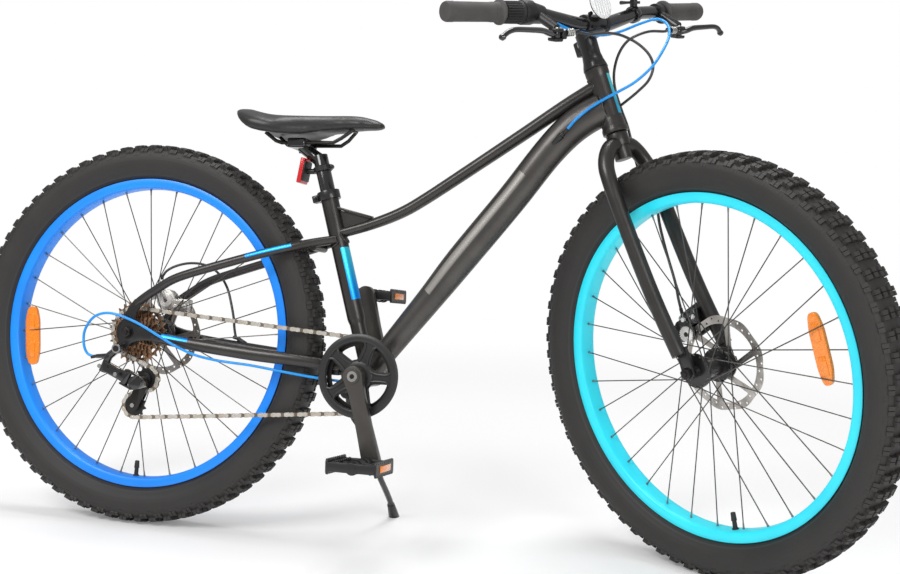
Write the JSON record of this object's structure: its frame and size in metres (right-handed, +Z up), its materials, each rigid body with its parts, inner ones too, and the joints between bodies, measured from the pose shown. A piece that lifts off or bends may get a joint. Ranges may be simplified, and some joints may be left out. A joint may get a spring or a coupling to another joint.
{
  "type": "kids bicycle",
  "caption": "Youth mountain bike on its side stand: wide knobbly tyres, coloured rims, disc brakes, twist shifter, rear derailleur, padded saddle, bars turned right.",
  "frame": {"origin": "on the floor, below the middle of the bike's box in plan", "axes": "+X the way the bike points, +Y its left, +Z up; it leans 8 degrees to its left on its side stand, with the bars turned right"},
  "size_m": [1.6896, 0.5786, 0.9802],
  "materials": {
    "charcoal_paint": "satin charcoal paint",
    "black_paint": "satin black paint",
    "rubber": "matte black rubber",
    "tyre": "matte black tyre rubber",
    "blue_rim": "satin blue coating",
    "cyan_rim": "satin cyan coating",
    "bright_steel": "brushed",
    "dark_steel": "dark brushed",
    "bronze_steel": "browned steel",
    "alloy": "satin black coating",
    "grey_alloy": "satin charcoal coating",
    "black_plastic": "matte black",
    "red_lens": "clear red prismatic lens",
    "white_lens": "clear prismatic lens",
    "cable_black": "smooth black casing",
    "cable_blue": "smooth blue casing",
    "saddle_cover": "black padded cover"
  },
  "bodies": {
    "frame": {"head_tube": "charcoal_paint", "top_tube": "charcoal_paint", "down_tube": "charcoal_paint", "seat_tube": "charcoal_paint", "chain_stay_right": "charcoal_paint", "chain_stay_left": "charcoal_paint", "seat_stays": "charcoal_paint", "seat_collar": "alloy", "kickstand_mount": "alloy", "rear_axle": "dark_steel", "rear_caliper": "bright_steel", "derailleur_body": "alloy", "chain": "bright_steel", "shift_cable_rear": "cable_blue", "rear_brake_cable_rear": "cable_black"},
    "steerer": {"fork": "charcoal_paint", "stem": "alloy", "handlebar": "black_paint", "grip_right": "rubber", "grip_left": "rubber", "shifter_housing": "black_plastic", "lever_perch_left": "alloy", "bell": "black_plastic", "front_reflector": "white_lens", "front_caliper": "alloy", "front_axle": "dark_steel", "front_brake_cable": "cable_black", "shift_cable_front": "cable_blue", "rear_brake_cable_front": "cable_black"},
    "front_wheel": {"front_tyre": "tyre", "front_rim": "cyan_rim", "front_hub": "dark_steel", "front_rotor": "bright_steel"},
    "rear_wheel": {"rear_tyre": "tyre", "rear_rim": "blue_rim", "rear_hub": "dark_steel", "rear_rotor": "bright_steel"},
    "sprockets": {"freewheel": "bronze_steel"},
    "cranks": {"chainring": "bronze_steel", "chain_guard": "black_plastic", "crank_right": "grey_alloy", "crank_left": "grey_alloy"},
    "pedal_r": {"pedal_right": "black_plastic"},
    "pedal_l": {"pedal_left": "black_plastic"},
    "lever_r": {"brake_lever_right": "alloy"},
    "lever_l": {"brake_lever_left": "alloy"},
    "arm_front": {"caliper_arm_front": "bright_steel"},
    "arm_rear": {"caliper_arm_rear": "bright_steel"},
    "twist_grip": {"shift_grip": "rubber"},
    "knuckle": {"derailleur_knuckle": "alloy"},
    "link": {"derailleur_link": "alloy"},
    "cage": {"derailleur_cage": "bright_steel"},
    "guide": {"guide_pulley": "black_plastic"},
    "tension": {"tension_pulley": "black_plastic"},
    "side_stand": {"kickstand": "alloy"},
    "striker": {"bell_striker": "black_plastic"},
    "seat": {"seat_post": "alloy", "saddle": "saddle_cover", "saddle_rails": "dark_steel", "rear_reflector": "red_lens"}
  },
  "joints": [
    {"name": "steering", "type": "hinge", "parent": "frame", "child": "steerer", "pos_m": [0.35599, 0.00222, 0.75449], "axis": [-0.3434, 0.131, 0.93], "range_deg": [-25, 75], "deforming": ["shift_cable_front", "rear_brake_cable_front"]},
    {"name": "front_wheel_spin", "type": "hinge", "parent": "steerer", "child": "front_wheel", "pos_m": [0.54124, -0.07799, 0.35032], "axis": [0.5408, 0.8371, 0.0818], "continuous": true},
    {"name": "rear_wheel_spin", "type": "hinge", "parent": "frame", "child": "rear_wheel", "pos_m": [-0.4933, -0.05504, 0.34806], "axis": [0, 0.9902, -0.1395], "continuous": true},
    {"name": "crank_spin", "type": "hinge", "parent": "frame", "child": "cranks", "pos_m": [-0.05169, -0.06235, 0.29623], "axis": [0, 0.9902, -0.1395], "continuous": true, "deforming": ["chain"]},
    {"name": "sprocket_spin", "type": "hinge", "parent": "frame", "child": "sprockets", "pos_m": [-0.4933, -0.05504, 0.34806], "axis": [0, 0.9902, -0.1395], "continuous": true},
    {"name": "pedal_right_spin", "type": "hinge", "parent": "cranks", "child": "pedal_r", "pos_m": [-0.01013, -0.21119, 0.17165], "axis": [0, 0.9902, -0.1395], "continuous": true},
    {"name": "pedal_left_spin", "type": "hinge", "parent": "cranks", "child": "pedal_l", "pos_m": [-0.09325, 0.08649, 0.42081], "axis": [0, 0.9902, -0.1395], "continuous": true},
    {"name": "brake_lever_right_pull", "type": "hinge", "parent": "steerer", "child": "lever_r", "pos_m": [0.28193, -0.11453, 0.88165], "axis": [-0.0865, 0.1521, -0.9846], "range_deg": [0, 18], "stiffness_Nm_per_rad": 1.2},
    {"name": "brake_lever_left_pull", "type": "hinge", "parent": "steerer", "child": "lever_l", "pos_m": [0.44738, 0.14912, 0.90858], "axis": [0.0865, -0.1521, 0.9846], "range_deg": [0, 18], "stiffness_Nm_per_rad": 1.2},
    {"name": "caliper_arm_front_pull", "type": "hinge", "parent": "steerer", "child": "arm_front", "pos_m": [0.50013, 0.00661, 0.39634], "axis": [0.5408, 0.8371, 0.0818], "range_deg": [0, 17]},
    {"name": "caliper_arm_rear_pull", "type": "hinge", "parent": "frame", "child": "arm_rear", "pos_m": [-0.4834, -0.00803, 0.40508], "axis": [0, 0.9902, -0.1395], "range_deg": [0, 17]},
    {"name": "shift_grip_turn", "type": "hinge", "parent": "steerer", "child": "twist_grip", "pos_m": [0.21058, -0.13228, 0.91641], "axis": [0.5993, 0.7978, 0.0665], "range_deg": [-50, 100]},
    {"name": "link_swing", "type": "hinge", "parent": "frame", "child": "link", "pos_m": [-0.52921, -0.14752, 0.29741], "axis": [0.3873, 0.1286, 0.9129], "range_deg": [-15.5, 7.8]},
    {"name": "knuckle_level", "type": "hinge", "parent": "link", "child": "knuckle", "pos_m": [-0.48379, -0.15018, 0.27852], "axis": [0.3873, 0.1286, 0.9129], "range_deg": [-7.8, 15.5]},
    {"name": "cage_swing", "type": "hinge", "parent": "knuckle", "child": "cage", "pos_m": [-0.46517, -0.13394, 0.26833], "axis": [0, 0.9902, -0.1395], "range_deg": [-18, 18], "stiffness_Nm_per_rad": 1},
    {"name": "guide_pulley_spin", "type": "hinge", "parent": "cage", "child": "guide", "pos_m": [-0.46318, -0.11323, 0.27198], "axis": [0, 0.9902, -0.1395], "continuous": true},
    {"name": "tension_pulley_spin", "type": "hinge", "parent": "cage", "child": "tension", "pos_m": [-0.4851, -0.12014, 0.22293], "axis": [0, 0.9902, -0.1395], "continuous": true},
    {"name": "stand_fold", "type": "hinge", "parent": "frame", "child": "side_stand", "pos_m": [-0.10514, -0.02388, 0.25387], "axis": [-0.0998, 0.9663, -0.2373], "range_deg": [0, 100]},
    {"name": "seat_post_slide", "type": "slide", "parent": "frame", "child": "seat", "axis": [-0.2871, 0.1336, 0.9485], "range_m": [-0.03, 0.06]},
    {"name": "bell_strike", "type": "hinge", "parent": "steerer", "child": "striker", "pos_m": [0.37332, 0.10864, 0.9568], "axis": [0.01, -0.1036, 0.9946], "range_deg": [0, 30], "stiffness_Nm_per_rad": 0.02}
  ],
  "couplings": [
    {"joint": "sprocket_spin", "follows": "crank_spin", "ratio": 1.4545},
    {"joint": "guide_pulley_spin", "follows": "crank_spin", "ratio": -2.9091},
    {"joint": "tension_pulley_spin", "follows": "crank_spin", "ratio": 2.9091},
    {"joint": "caliper_arm_front_pull", "follows": "brake_lever_left_pull", "ratio": 0.9},
    {"joint": "caliper_arm_rear_pull", "follows": "brake_lever_right_pull", "ratio": 0.9},
    {"joint": "link_swing", "follows": "shift_grip_turn", "ratio": -0.15166},
    {"joint": "knuckle_level", "follows": "shift_grip_turn", "ratio": 0.15166}
  ]
}
